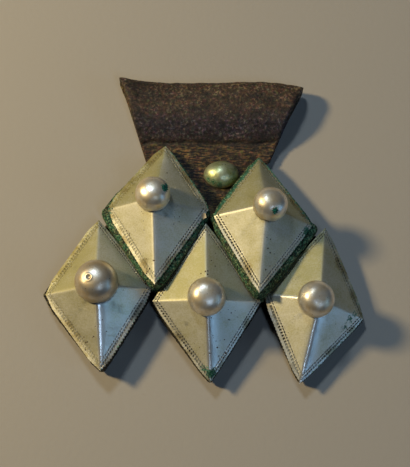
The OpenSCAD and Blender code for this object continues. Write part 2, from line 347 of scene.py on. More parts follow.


# Green-dyed leather, cut and stacked under the silver: fibrous raw edges, dry dye that has crumbled.
# Green and olive in patches, khaki painted highlight where light catches the fibres, nearly black painted
# shade in the holes between them, plain dark brown where the dye is gone, and paler low down between two
# lozenges, a painted fill where the gap lies in shade
def makeDyedLeather():
    look = {
        "green": "#2f6a48", "olive": "#525f3c", "khaki": "#a9b38c", "dark": "#11160c", "brown": "#2c2012",
        "speck": "#7a7450", "fillTone": "#93a27c", "filledHoleTone": "#3a4029",
        "patch": 2.0, "grain": 0.6, "fibre": 0.35, "bump": 0.35,  # in millimetres
        "rough": 0.78,
    }
    material, tree, place, (faded, paintedFill) = newMaterial("green_dyed_leather", ("faded", "paintedFill"))
    patch, grain = addNodes(tree, "TexNoise", noiseInputs, (
        (place, sized(look["patch"]), 2.0), (place, sized(look["grain"]), 3.0, 0.7)))
    fibre = addNode(tree, "TexVoronoi", {"Vector": place, "Scale": sized(look["fibre"])})
    # painted highlight where the grain is high, and nearly black painted shade in its holes
    greener, lit, holeShade = addNodes(tree, "MapRange", rampInputs, (
        (patch, 0.4, 0.52), (grain, 0.53, 0.68), (grain, 0.51, 0.42)), interpolation_type="SMOOTHSTEP")
    # a paler painted fill low down on the upper pads stands in for light in the shaded gaps
    dyed = layColours(tree, look["olive"], [
        (greener, look["green"]), (paintedFill, look["fillTone"]), (lit, look["khaki"])])
    bald = layColours(tree, look["brown"], [(lit, look["speck"])])
    holeShadeTone = layColours(tree, look["dark"], [(paintedFill, look["filledHoleTone"])])
    # the dye is gone in patches
    uneven = addNode(tree, "MapRange", {"Value": patch, "From Min": 0.3, "From Max": 0.6,
                                        "To Min": -0.3, "To Max": 0.3})
    gone = addNode(tree, "Math", {0: faded, 1: uneven}, operation="ADD")
    gone = addNode(tree, "MapRange", {"Value": gone, "From Min": 0.35, "From Max": 0.65},
                   interpolation_type="SMOOTHSTEP")
    colour = layColours(tree, dyed, [(gone, bald), (holeShade, holeShadeTone)])
    fluff = addNode(tree, "Math", {0: fibre, 1: 0.3}, operation="MULTIPLY")
    relief = addNode(tree, "Math", {0: grain, 1: fluff}, operation="ADD")
    surface = {"Base Color": colour, "Roughness": look["rough"]}
    return finishMaterial(material, relief, look["bump"], surface, strength=0.9)


# Shares that the hide's mesh carries: rubbed pale and partly painted highlight, tongue, a band of painted
# shade, painted shade in the crease, and red-brown
hideLayers = ("rubbed", "tongue", "shadedBand", "crease", "red")


# Old goatskin, oiled and handled: dark brown with a fine speckled grain, golden brown along the top fold,
# partly rubbed and partly painted highlight, a band of violet-black painted shade across the middle of the
# sleeve, painted shade in its creases and golden brown fibres on the tongue
def makeGoatskin():
    look = {
        "deep": "#18110b", "brown": "#463424", "rubbed": "#836b4d", "tan": "#a89374", "tongue": "#3c2a18",
        "fibre": "#806339", "bandShade": "#352c33", "bandShadeSpeck": "#7d6f74", "red": "#5a2416",
        # in millimetres
        "pebble": 0.7, "mottle": 2.4, "tint": 0.9, "bump": 0.3,
        "fibreSize": (1.8, 0.4, 1.0), "cloudSize": (7.5, 3.0, 5.0),
        "tinted": 0.7,  # how much the fine tint shows
    }
    material, tree, place, (rubbed, tongue, shadedBand, crease, red) = newMaterial("aged_goatskin", hideLayers)
    # short fibres that lie across the tongue, and darker and lighter clouds, drawn out along the sleeve
    across, along = addNodes(tree, "Mapping", ("Vector", "Scale"), [
        (place, [sized(wide) for wide in look[name]]) for name in ("fibreSize", "cloudSize")])
    pebble, mottle, tint, fibre, cloud = addNodes(tree, "TexNoise", noiseInputs, (
        (place, sized(look["pebble"]), 3.0, 0.7), (place, sized(look["mottle"]), 4.0, 0.65),
        (place, sized(look["tint"]), 2.0), (across, 1.0, 3.0, 0.5, 0.4), (along, 1.0, 3.0, 0.6, 0.6)))
    wear, high, hollow, thread, furrow, cloud = addNodes(
        tree, "MapRange", rampInputs, (
            (mottle, 0.42, 0.6), (pebble, 0.49, 0.67), (pebble, 0.48, 0.34), (fibre, 0.5, 0.62),
            (fibre, 0.47, 0.38), (cloud, 0.36, 0.62, 0.46, 1.15)), interpolation_type="SMOOTHSTEP")
    # worn parts show more of the high grain and less of the hollows
    more, less, rough = addNodes(tree, "MapRange", rampInputs, (
        (wear, 0.0, 1.0, 0.3, 1.0), (wear, 0.0, 1.0, 1.0, 0.6), (mottle, 0.3, 0.7, 0.75, 0.6)))
    high, hollow, thread, furrow, reddened = [
        addNode(tree, "Math", {0: mask, 1: share}, operation="MULTIPLY")
        for mask, share in ((high, more), (hollow, less), (thread, tongue), (furrow, tongue), (red, wear))]
    # darkest in the grain's hollows, with painted shade in the crease and the folds, and along dark fibres
    dark = hollow
    for other in (crease, furrow):
        dark = addNode(tree, "Math", {0: dark, 1: other}, operation="MAXIMUM")
    # pale tan where rubbed: wear on the top fold, and partly painted highlight there and along the left edge
    fade = addNode(tree, "Math", {0: rubbed, 1: high}, operation="MULTIPLY")
    bareSkin, bandShaded, onTongue = [
        layColours(tree, look[low], [(high, look[raised])])
        for low, raised in (("brown", "rubbed"), ("bandShade", "bandShadeSpeck"), ("tongue", "rubbed"))]
    colour = layColours(tree, bareSkin, [
        (shadedBand, bandShaded), (tongue, onTongue), (reddened, look["red"]), (thread, look["fibre"]),
        (fade, look["tan"]), (dark, look["deep"])])
    colour = addNode(tree, "Mix", {0: look["tinted"], 6: colour, 7: tint.outputs["Color"]},
                     data_type="RGBA", blend_type="OVERLAY")
    colour = addNode(tree, "Mix", {0: 1.0, 6: colour, 7: cloud}, data_type="RGBA", blend_type="MULTIPLY")
    fluff = addNode(tree, "Math", {0: fibre, 1: tongue}, operation="MULTIPLY")
    relief = addNode(tree, "Math", {0: pebble, 1: fluff}, operation="ADD")
    surface = {"Base Color": colour, "Roughness": rough}
    return finishMaterial(material, relief, look["bump"], surface, strength=0.8)


sheetSilver = makeSheetSilver()
bossSilver = makePolishedSilver(bossLook)
studSilver = makePolishedSilver(studLook)
dyedLeather = makeDyedLeather()
goatskin = makeGoatskin()
print("materials made")


# The five lozenges. Seats, outlines, peaks and bosses are the CAD model's, in millimetres:
# seat and lean place a lozenge's own plane; half, west and east give its corners there.
# ridge and polishAndSheen are how round and how polished the ridges to the north, west, south and east
# corners are, and how much painted highlight they carry.
# The rest go by edge, north-west, south-west, south-east and north-east: how strong the dashes are, how green
# and how yellow the border is, how notched the rim is, how tarnished the facet is and how much grey painted
# shade it carries, how bare the border is, and how far the edges of the sheet and of the pad belly out
# between their corners.
# dyed is how green the pad still is, and seed gives each lozenge its own dents.
lozenges = {
    "upper_left": {
        "seat": (-11.6, 2.8, 9.0), "lean": (-9, -5, -3.0), "half": 20.2, "west": (13.9, 1.0),
        "east": (12.6, 1.1), "peak": (-1.0, 0.1), "boss": (-1.0, 1.2, 8.3), "bossRadius": 4.5,
        "ridge": (2.2, 0.5, 0.9, 1.6), "polishAndSheen": (0.0, 0.1, 0.35, 0.0), "facetShade": (0.0, 0.0, 0.0, 0.0),
        "tooled": (0.3, 0.35, 0.95, 0.6), "greened": (0.4, 0.42, 0.5, 0.5), "gilt": (0.5, 0.15, 0.0, 0.4),
        "notched": (0.2, 0.3, 0.6, 0.2), "dyed": 1.0, "aged": (0.85, 0.3, 0.15, 0.35),
        "handled": (0.1, 0.1, 0.6, 0.35), "swell": (1.0, 0.75, 0.2, 0.5), "padSwell": (0.45, 0.3, 0.6, 0.7),
        "seed": 3.1,
    },
    "upper_right": {
        "seat": (14.0, 0.0, 9.5), "lean": (-12, 8, -1.0), "half": 20.2, "west": (12.0, 1.0),
        "east": (14.0, 0.4), "peak": (0.6, 0.9), "boss": (1.4, 0.9, 8.3), "bossRadius": 4.4,
        "ridge": (1.3, 0.2, 0.8, 1.2), "polishAndSheen": (0.1, 0.3, 0.25, 0.0), "facetShade": (0.0, 0.3, 0.0, 0.2),
        "tooled": (0.4, 0.95, 0.9, 0.5), "greened": (0.8, 0.35, 0.5, 0.6), "gilt": (0.5, 0.15, 0.0, 0.3),
        "notched": (0.3, 0.3, 0.4, 0.2), "dyed": 0.8, "aged": (0.85, 0.4, 0.3, 0.6),
        "handled": (0.25, 0.35, 0.7, 0.15), "swell": (0.4, 0.4, 0.2, 0.6), "padSwell": (0.7, 0.4, 0.25, 0.4),
        "seed": 17.4,
    },
    "lower_left": {
        "seat": (-27.0, -18.1, 6.3), "lean": (-3, -3, 2.5), "half": 20.3, "west": (14.0, 0.6),
        "east": (13.6, 0.8), "peak": (0.2, -0.1), "boss": (0.2, 1.0, 7.3), "bossRadius": 5.5,
        # towards a small dimple in the boss, and how dull that boss is
        "dimple": (-0.24, -0.04, 0.97), "bossAged": 0.42,
        "ridge": (0.7, 0.5, 1.3, 0.8), "polishAndSheen": (0.15, 0.1, 1.0, 0.0), "facetShade": (0.1, 0.35, 0.0, 0.0),
        "tooled": (0.35, 0.35, 0.75, 0.8), "greened": (0.2, 0.15, 0.45, 0.5), "gilt": (0.5, 0.3, 0.0, 0.2),
        "notched": (0.1, 0.2, 1.0, 0.3), "dyed": 0.15, "aged": (0.9, 0.3, 0.0, 0.3),
        "handled": (0.2, 0.2, 1.0, 0.6), "swell": (0.8, 0.75, 0.7, 0.2), "padSwell": (0.3, 0.6, 0.3, 0.0),
        "seed": 29.8,
    },
    "lower_middle": {
        "seat": (0.8, -20.4, 7.2), "lean": (5, 3, 1.5), "half": 20.6, "west": (14.2, 0.4),
        "east": (13.6, -0.2), "peak": (-0.8, -0.7), "boss": (-0.8, 0.1, 8.1), "bossRadius": 4.85,
        "ridge": (0.5, 0.4, 0.9, 0.5), "polishAndSheen": (0.2, 0.15, 1.0, 0.1), "facetShade": (0.0, 0.0, 0.0, 0.0),
        "tooled": (0.9, 0.95, 0.95, 0.9), "greened": (0.2, 0.2, 0.4, 0.5), "gilt": (0.4, 0.2, 0.0, 0.1),
        "notched": (0.2, 0.3, 0.4, 0.2), "dyed": 0.1, "aged": (0.8, 0.28, 0.1, 0.3),
        "handled": (0.6, 0.5, 0.8, 0.5), "swell": (0.15, 0.4, 0.15, 0.2), "padSwell": (0.0, 0.3, 0.0, 0.0),
        "seed": 41.3,
    },
    "lower_right": {
        "seat": (27.7, -20.6, 5.6), "lean": (3, 9, -10.5), "half": 20.7, "west": (12.9, -0.3),
        "east": (13.7, -1.0), "peak": (-0.1, -0.5), "boss": (-1.2, -0.5, 8.2), "bossRadius": 4.65,
        "ridge": (0.5, 0.2, 1.0, 0.6), "polishAndSheen": (0.1, 0.7, 1.0, 0.1), "facetShade": (0.0, 0.0, 0.0, 0.1),
        "tooled": (0.6, 0.95, 0.95, 0.7), "greened": (0.2, 0.2, 0.45, 0.45), "gilt": (0.3, 0.15, 0.0, 0.2),
        "notched": (0.2, 0.4, 0.5, 0.2), "dyed": 0.05, "aged": (0.85, 0.28, 0.03, 0.4),
        "handled": (0.2, 0.6, 0.6, 0.3), "swell": (0.1, 0.7, 0.4, 0.6), "padSwell": (0.0, 0.35, 0.2, 0.5),
        "seed": 53.9,
    },
}
middle = Vector((-0.37, 1.07, 0))  # the CAD model's own shift to the origin

plaqueShape = {
    "rise": 8.6, "sheet": 0.7, "turnDown": 0.5,
    "pitch": 0.86,  # one dash and the gap after it
    "rows": (0.44, 0.80, 1.12, 1.48),  # the two rows of dashes, as distances from the rim
    "band": 1.85,  # plain border outside the field
    "dashDeep": 0.18, "dashInset": 0.02, "bead": 0.06,
    "dashGrime": 0.85, "dashPatch": 5.0,  # how full of grime the dashes are, and how wide its patches
    "notch": 0.4,  # depth of the notches that the rim's dashes leave
    "wallGrime": 0.75,  # how dirty the turned-down rim is
    "greenReach": 1.7,  # how far in from the rim verdigris creeps
    "swellWide": 0.8, "swellRamp": 6,  # how far in from the rim the belly reaches, and how soon it starts
    # spacing of the cuts that the dents are pressed into, and the closer ones beside the ridges
    "lattice": 0.85, "latticeReach": 13, "ridgeCuts": (0.15, 0.3, 0.45, 0.75, 1.05),
    "dents": ((9.0, 0.09), (3.4, 0.03), (1.5, 0.007)),  # width and depth
    # what is left of a ridge's roundness at the corner, and of a dent on a ridge, and where both are whole
    "ridgeStart": (0.15, 7), "dentStart": (0.15, 2.5),
    "hemStep": 0.12, "hemOut": -0.03, "hemWave": (1.1, 0.8), "hemDirt": 1.3,  # the turned-down rim
    # how far the rim is from the middle where the back is drawn in, and how far its peak is under the front's
    "halfWide": 6.6, "peakUnder": 0.9,
    "sharp": 32,  # degrees, past which an edge is drawn sharp
    "bossSegments": (96, 64),
    "bossDents": ((2.6, 0.05), (0.9, 0.012)),
    "bossFlat": (0.13, 0.68),  # how far the dome's crown is lowered and how wide, as shares of its radius
    "dimpleDeep": 0.3, "dimpleWide": 0.45, "dimpleRing": 0.09, "ringAt": 0.85, "ringWide": 0.25,
    # a chip of sheet at the east corner of the upper left, bent up: its outline in the row frame
    "chip": (
        (-1.1, 0.75, 10.1), (-0.1, -0.45, 10.2), (0.75, -0.1, 10.7), (0.55, 0.8, 11.1), (-0.1, 1.2, 10.6)),
    "chipThick": 0.25,
}

# Where verdigris shows: place in the row frame, reach, strength
greenSpots = [
    ((-9.6, 4.85, 19.9), 1.0, 0.95),  # boss of the upper left
    ((-9.0, 6.0, 19.4), 0.95, 0.85),
    ((17.9, -1.5, 20.5), 0.85, 0.95),  # boss of the upper right
    ((17.0, -1.2, 21.0), 0.45, 0.8),
    ((2.0, -39.6, 6.2), 1.5, 0.78),  # south tip of the lower middle
    ((0.2, -38.4, 6.4), 1.2, 0.62),
    ((2.6, -41.0, 6.0), 1.0, 0.6),
    ((37.4, -25.7, 5.9), 1.3, 0.6),  # east corner of the lower right
    ((36.0, -27.7, 5.6), 1.2, 0.62),
    ((38.6, -24.2, 5.3), 1.1, 0.6),
    ((34.9, -28.9, 5.6), 0.8, 0.5),
    ((-26.0, 3.0, 8.0), 1.9, 0.8),  # west corner of the upper left
    ((27.0, -3.5, 8.0), 1.8, 0.75),  # east corner of the upper right
]


def placedAt(lozenge):
    turns = [Matrix.Rotation(math.radians(a), 4, axis) for a, axis in zip(lozenge["lean"], "XYZ")]
    return Matrix.Translation(Vector(lozenge["seat"]) - middle) @ turns[0] @ turns[1] @ turns[2]


def cornersOf(lozenge):
    half, west, east = lozenge["half"], lozenge["west"], lozenge["east"]
    return [Vector((x, y, 0)) for x, y in ((0, half), (-west[0], west[1]), (0, -half), east)]


def sliced(bm, faces, point, normal):
    # cuts these faces along a plane, and leaves the rest of the mesh whole
    parts = dict.fromkeys(faces)  # keeps its order, so that every run makes the same mesh
    for f in faces:
        parts.update(dict.fromkeys([*f.edges, *f.verts]))
    bmesh.ops.bisect_plane(bm, geom=list(parts), dist=1e-4, plane_co=point, plane_no=normal)


def awayFromLine(point, start, end):
    run = (end - start).normalized()
    return ((point - start) - run * (point - start).dot(run)).length


def openEdges(parts):
    return [part for part in parts if isinstance(part, bmesh.types.BMEdge) and part.is_boundary]


def vertsOf(parts):
    return list(dict.fromkeys(v for part in parts for v in part.verts))


def spotStrength(point, spots, spread=1.6):
    # strongest of the spots here; each one fades out at this many times its reach
    return max([strength * max(0.0, 1 - (point - Vector(at)).length / (reach * spread)) ** 0.5
                for at, reach, strength in spots] + [0.0])


def shadeSmooth(bm, sharp=180):
    # edges that bend more than this many degrees stay sharp
    for f in bm.faces:
        f.smooth = True
    for e in bm.edges:
        if len(e.link_faces) == 2 and e.calc_face_angle(0) > math.radians(sharp):
            e.smooth = False


def buildPlaque(side, lozenge):
    shape = plaqueShape
    corners = cornersOf(lozenge)
    peak = Vector((*lozenge["peak"], shape["rise"]))
    seed = lozenge["seed"]
    bm = bmesh.new()
    facetOf = bm.faces.layers.int.new("facet")
    layers = {name: bm.verts.layers.float.new(name) for name in plaqueLayers}
    rimVerts = [bm.verts.new(c) for c in corners]
    top = bm.verts.new(peak)
    for k in range(4):
        bm.faces.new((rimVerts[k], rimVerts[(k + 1) % 4], top))[facetOf] = k + 1
    facets = []
    for k in range(4):
        start, end = corners[k], corners[(k + 1) % 4]
        along = (end - start).normalized()
        up = (peak - start) - along * (peak - start).dot(along)
        tall, up = up.length, up.normalized()
        facets.append({"start": start, "end": end, "along": along, "up": up, "tall": tall,
                       "long": (end - start).length, "out": along.cross(up)})

    def ofFacet(k):
        return [f for f in bm.faces if f[facetOf] == k + 1]

    def inField(k):
        start, up = facets[k]["start"], facets[k]["up"]
        return [f for f in ofFacet(k) if (f.calc_center_median() - start).dot(up) > shape["band"]]

    # the strips of the border, cut crosswise into the cells of the dashes
    for k, facet in enumerate(facets):
        for distance in (*shape["rows"], shape["band"]):
            sliced(bm, ofFacet(k), facet["start"] + facet["up"] * distance, facet["up"])
    for k, facet in enumerate(facets):
        rungs = []
        for e in bm.edges:
            if not any(f[facetOf] == k + 1 for f in e.link_faces):
                continue
            heights = [(v.co - facet["start"]).dot(facet["up"]) for v in e.verts]
            if abs(heights[0] - heights[1]) < 1e-3 and heights[0] < shape["band"] + 0.01:
                rungs.append(e)
        facet["cells"] = 2 * round(facet["long"] / shape["pitch"]) + 1
        bmesh.ops.subdivide_edges(bm, edges=rungs, cuts=facet["cells"] - 1)

    # a lattice of cuts over the field
    besideRidge = list(shape["ridgeCuts"])
    while besideRidge[-1] + shape["lattice"] < shape["latticeReach"]:
        besideRidge.append(besideRidge[-1] + shape["lattice"])
    for k, facet in enumerate(facets):
        distance = shape["band"] + shape["lattice"]
        while distance < facet["tall"]:
            sliced(bm, inField(k), facet["start"] + facet["up"] * distance, facet["up"])
            distance += shape["lattice"]
        for corner in (facet["start"], facet["end"]):
            inward = facet["out"].cross((peak - corner).normalized())
            if inward.dot(facet["start"] + facet["end"] - 2 * corner) < 0:
                inward = -inward
            for distance in besideRidge:
                sliced(bm, inField(k), corner + inward * distance, inward)

    def shareAlong(facet, offset):
        # share of the way from ridge to ridge, at this height above the rim
        height, run = offset.dot(facet["up"]), offset.dot(facet["along"])
        left = height / math.tan(math.acos(facet["along"].dot((peak - facet["start"]).normalized())))
        right = height / math.tan(math.acos(-facet["along"].dot((peak - facet["end"]).normalized())))
        return (run - left) / max(facet["long"] - left - right, 1e-3)

    # dashes are sunk and the beads between the rows raised
    rows = shape["rows"]
    for k, facet in enumerate(facets):
        dashes, beads = [], []
        for f in ofFacet(k):
            centre = f.calc_center_median() - facet["start"]
            height = centre.dot(facet["up"])
            if height > rows[3]:
                continue
            cell = int(shareAlong(facet, centre) * facet["cells"])
            if rows[0] < height < rows[1] and cell % 2 or rows[2] < height < rows[3] and not cell % 2:
                dashes.append(f)
            elif rows[1] < height < rows[2] and cell % 2:
                beads.append(f)
        strength = lozenge["tooled"][k]
        for struck, depth in ((dashes, -shape["dashDeep"]), (beads, shape["bead"])):
            bmesh.ops.inset_individual(bm, faces=struck, thickness=shape["dashInset"], depth=depth * strength)
        for f in dashes:
            worn = smoothNoise(*f.calc_center_median(), shape["dashPatch"], seed + k)
            for v in f.verts:
                v[layers["dash"]] = clamped(strength * (shape["dashGrime"] + worn))

    bmesh.ops.triangulate(bm, faces=[f for f in bm.faces if len(f.verts) > 4])

    # dents, round ridges and what the material reads
    place = placedAt(lozenge)
    boss, bossRadius = Vector(lozenge["boss"]), lozenge["bossRadius"]
    # how sharply the sheet bends over each ridge
    bends = [math.sin(facets[k]["out"].angle(facets[k - 1]["out"]) / 2) for k in range(4)]
    ridgeLeft, ridgeWhole = shape["ridgeStart"]
    dentLeft, dentWhole = shape["dentStart"]
    moves = []
    for v in bm.verts:
        kinds = {f[facetOf] - 1 for f in v.link_faces}
        base = v.co.copy()
        rim = min((base - facets[k]["start"]).dot(facets[k]["up"]) for k in kinds)
        ends = [(awayFromLine(base, corners[(k + s) % 4], peak), (k + s) % 4) for k in kinds for s in (0, 1)]
        ridge, which = min(ends)
        soft = lozenge["ridge"][which] * min(1, ridgeLeft + (base - corners[which]).length / ridgeWhole)
        lower = bends[which] * (math.sqrt(ridge * ridge + soft * soft) - ridge)
        dent = unevenness(base, shape["dents"], seed) * min(1, dentLeft + ridge / dentWhole)
        out = sum((facets[k]["out"] for k in kinds), Vector()).normalized()
        move = out * dent - Vector((0, 0, lower))
        if len(kinds) == 1:
            facet = facets[min(kinds)]
            share = shareAlong(facet, base - facet["start"])
            belly = clamped(min(share, 1 - share) * shape["swellRamp"])
            inRim = max(0.0, 1 - rim / shape["swellWide"])
            move += facet["along"].cross(Vector((0, 0, 1))) * (lozenge["swell"][min(kinds)] * belly * inRim)
        moves.append((v, move))
        # each corner takes its nearest ridge's polish and painted highlight
        v[layers["rim"]], v[layers["ridge"]], v[layers["polishAndSheen"]] = max(rim, 0), ridge, lozenge["polishAndSheen"][which]
        v[layers["seam"]] = max(0.0, (base - boss).length - bossRadius)
        for name in ("tooled", "gilt"):
            v[layers[name]] = max(lozenge[name][k] for k in kinds)
        greened = max(lozenge["greened"][k] for k in kinds) * max(0.0, 1 - rim / shape["greenReach"])
        v[layers["green"]] = max(greened, spotStrength(place @ base, greenSpots))
        for name in ("aged", "facetShade", "handled"):
            v[layers[name]] = sum(lozenge[name][k] for k in kinds) / len(kinds)
    for v, move in moves:
        v.co += move
    for v in bm.verts:
        kinds = {f[facetOf] - 1 for f in v.link_faces}
        if v.is_boundary and len(kinds) == 1:
            k = kinds.pop()
            run = (v.co - facets[k]["start"]).length / facets[k]["long"] * facets[k]["cells"]
            if round(run) % 2:
                v.co += facets[k]["up"] * shape["notch"] * lozenge["notched"][k]

    # the rim is turned down, then the back of the sheet closes the shell
    foot = [e for e in bm.edges if e.is_boundary]
    waveWide, waveDeep = shape["hemWave"]
    for down, outward in ((shape["hemStep"], shape["hemOut"]), (shape["turnDown"] - shape["hemStep"], 0.0)):
        foot = openEdges(bmesh.ops.extrude_edge_only(bm, edges=foot)["geom"])
        for v in vertsOf(foot):
            wave = 1 + waveDeep * smoothNoise(*v.co, waveWide, seed)
            v.co += Vector((v.co.x, v.co.y, 0)).normalized() * outward * wave - Vector((0, 0, down))
            v[layers["rim"]] = 0
            v[layers["dash"]] = shape["wallGrime"] * (1 + smoothNoise(*v.co, shape["hemDirt"], seed + 3))
    innerShare = 1 - shape["sheet"] / shape["halfWide"]
    foot = openEdges(bmesh.ops.extrude_edge_only(bm, edges=foot)["geom"])
    for v in vertsOf(foot):
        v.co.x *= innerShare
        v.co.y *= innerShare
    last = vertsOf(openEdges(bmesh.ops.extrude_edge_only(bm, edges=foot)["geom"]))
    underPeak = Vector((peak.x * innerShare, peak.y * innerShare, peak.z - shape["peakUnder"]))
    bmesh.ops.pointmerge(bm, verts=last, merge_co=underPeak)
    bmesh.ops.recalc_face_normals(bm, faces=bm.faces)
    sheetFaces = set(bm.faces)

    # the boss, soldered over the peak
    around, rings = shape["bossSegments"]
    lowered, wide = shape["bossFlat"]
    made = bmesh.ops.create_uvsphere(bm, u_segments=around, v_segments=rings, radius=bossRadius,
                                     matrix=Matrix.Translation(boss))
    for v in made["verts"]:
        away = (v.co - boss).normalized()
        height = max((v.co - facet["start"]).dot(facet["out"]) for facet in facets)
        v.co += away * unevenness(v.co, shape["bossDents"], seed + 7)
        if away.z > 0:
            v.co.z -= bossRadius * lowered * bell(math.hypot(away.x, away.y), wide)
        if "dimple" in lozenge:
            off = (away - Vector(lozenge["dimple"]).normalized()).length * bossRadius
            v.co -= away * (shape["dimpleDeep"] * bell(off, shape["dimpleWide"])
                            - shape["dimpleRing"] * bell(off - shape["ringAt"], shape["ringWide"]))
        v[layers["seam"]] = max(0.0, height)
        v[layers["green"]] = spotStrength(place @ v.co, greenSpots)
        v[layers["ridge"]], v[layers["aged"]] = farOff, lozenge.get("bossAged", 0.0)
    for f in bm.faces:
        f.material_index = 0 if f in sheetFaces else 1
    shadeSmooth(bm, shape["sharp"])
    bmesh.ops.transform(bm, matrix=place, verts=bm.verts)
    if side == "upper_left":
        chip = bm.faces.new([bm.verts.new(at) for at in shape["chip"]])
        made = bmesh.ops.extrude_face_region(bm, geom=[chip])["geom"]
        upper = [g for g in made if isinstance(g, bmesh.types.BMVert)]
        bmesh.ops.translate(bm, vec=(0, 0, shape["chipThick"]), verts=upper)
        chipFaces = list(dict.fromkeys(f for v in (*chip.verts, *upper) for f in v.link_faces))
        bmesh.ops.recalc_face_normals(bm, faces=chipFaces)
        for v in vertsOf(chipFaces):
            v[layers["seam"]] = farOff
        for f in chipFaces:
            f.material_index = 1
    return finishPiece(bm, f"silver_{side}", [sheetSilver, bossSilver], "silver_sheet", f"plaque_{side}")


plaques = {side: buildPlaque(side, lozenge) for side, lozenge in lozenges.items()}


# The leather lozenges under the silver
padShape = {
    "voxel": 0.4,
    "steep": 1.6,  # how soon a sloping face counts as wall
    "crumble": ((1.3, 0.16), (0.8, 0.10)), "crumbleIn": 0.35,  # width and depth of the holes in the raw edge
    # thickness of one layer of leather, the groove between two, and half its width as a share of a layer
    "layer": 1.3, "layerDeep": 0.12, "layerGap": 0.16,
    "swellWide": 2.0, "swellRamp": 6,
    # frayed edges of the upper pads reach out to the lower silver, farther away from the pendant's middle
    "fray": 0.64, "frayGap": 0.14, "frayNear": (2.0, 3.6), "frayOutward": 20, "frayMost": 1.6,
    "freeFrom": (3.0, 4.2),  # heights between which an upper pad comes clear of the tongue
    "plainFoot": 0.55, "plainAt": 1.4, "plainRun": 4.5,  # undyed leather at the foot of a pad
    "fillFrom": 6.5, "fillRun": 3, "fillMost": 0.8, "fillBelow": -1,  # paler painted fill on the upper pads, below this y
}


def buildPad(side, lozenge):
    shape = padShape
    upperRow = side.startswith("upper")
    bm = remeshed(f"pad_{side}", shape["voxel"])
    faded, paintedFill = [bm.verts.layers.float.new(name) for name in ("faded", "paintedFill")]
    bm.normal_update()
    moves = []
    place = placedAt(lozenge)
    corners = [(place @ c).to_2d() for c in cornersOf(lozenge)]
    clear, wholly = shape["freeFrom"]
    near, far = shape["frayNear"]
    nextTo = []
    for other, plaque in plaques.items():
        if upperRow and other.startswith("lower"):
            copy = bmesh.new()
            copy.from_mesh(plaque.data)
            nextTo.append(BVHTree.FromBMesh(copy))
            copy.free()
    for v in bm.verts:
        wall = 1 - min(1, abs(v.normal.z) * shape["steep"])
        sideways = Vector((v.normal.x, v.normal.y, 0))
        swell = Vector((0, 0, 0))
        for k in range(4):
            run = corners[(k + 1) % 4] - corners[k]
            outward = Vector((run.y, -run.x)).normalized()
            offset = v.co.to_2d() - corners[k]
            share = offset.dot(run) / run.length_squared
            belly = clamped(min(share, 1 - share) * shape["swellRamp"])
            outer = clamped(1 + offset.dot(outward) / shape["swellWide"])
            swell += outward.to_3d() * (lozenge["padSwell"][k] * belly * outer)
        if upperRow:
            free = clamped((v.co.z - clear) / (wholly - clear))
            swell *= free
            if wall > 0 and v.co.z > clear:
                gap = min(tree.find_nearest((v.co + swell) * mm)[3] for tree in nextTo) / mm
                reach = shape["fray"] * min(shape["frayMost"], 1 + abs(v.co.x) / shape["frayOutward"])
                fray = max(0.0, min(reach, gap - shape["frayGap"])) * clamped((far - gap) / (far - near))
                swell += sideways * (fray * wall * free)
        hollow = sum(deep * (smoothNoise(*v.co, wide, lozenge["seed"]) - shape["crumbleIn"])
                     for wide, deep in shape["crumble"])
        groove = shape["layerDeep"] if abs((v.co.z / shape["layer"]) % 1 - 0.5) < shape["layerGap"] else 0
        moves.append((v, swell + sideways * (wall * (hollow - groove))))
        plain = shape["plainFoot"] - (v.co.z - shape["plainAt"]) / shape["plainRun"]
        v[faded] = max(1 - lozenge["dyed"], plain)
        # paler painted fill low down on the upper pads, where the gaps between lozenges lie in shade
        if upperRow and v.co.y < shape["fillBelow"]:
            v[paintedFill] = max(0.0, min(shape["fillMost"], (shape["fillFrom"] - v.co.z) / shape["fillRun"]))
    for v, move in moves:
        v.co += move
    shadeSmooth(bm)
    piece = finishPiece(bm, f"leather_pad_{side}", [dyedLeather], "dyed_pad", f"pad_{side}")
    return piece


for side, lozenge in lozenges.items():
    buildPad(side, lozenge)


# The goatskin backing: panel, tongue and the folded sleeve for the neck cord. Heights go up the row frame
# from the sleeve's low edge
hideShape = {
    "voxel": 0.45,
    "smooths": 2, "smoothFrom": 12,
    "wrinkles": ((6.0, 0.22), (2.4, 0.12), (1.2, 0.09)),  # width and depth
    "flapLow": 18.53,  # where the sleeve's low edge is, up the row frame
    "creaseUp": 5.0, "creaseDeep": 0.22, "creaseWide": 0.6, "sway": 1.1, "swayWide": 6.0,
    # each corner pulled out: place, move, reach
    "corners": (((-22.6, 41.6), (-0.5, 0.15), 3.0), ((26.2, 39.3), (0.75, -0.15), 7.0)),
    # low folds that run across the top of the tongue
    "foldPitch": 1.4, "foldDeep": 0.14, "foldRun": 4.5, "foldWander": (3.5, 0.4),
    # how much painted shade lies in the crease, from where and how much in the folds, and in what patches
    "creaseShade": 0.75, "foldShadeFrom": 0.35, "foldShade": 0.8, "shadePatch": (3.0, 0.7, 1.2),
    # height, reach and strength of the band of painted shade and of the pale top fold, which is rubbed and
    # partly painted highlight
    "bandShade": (8.6, 3.6, 0.85), "pale": (19.5, 3.2, 0.45),
    "redAt": (-15.8, 20.1), "redReach": 4.0,
    # the pale left edge, partly a painted highlight: where it begins at the height of the top fold, its slope
    # and width
    "leftEdge": -20.6, "leftTop": 37, "leftSlope": 0.2, "leftWide": 1.2, "leftFrom": 3,
    "seeds": {"wrinkles": 5.3, "sway": 2.2, "folds": 1.7, "dark": 4.4},
}


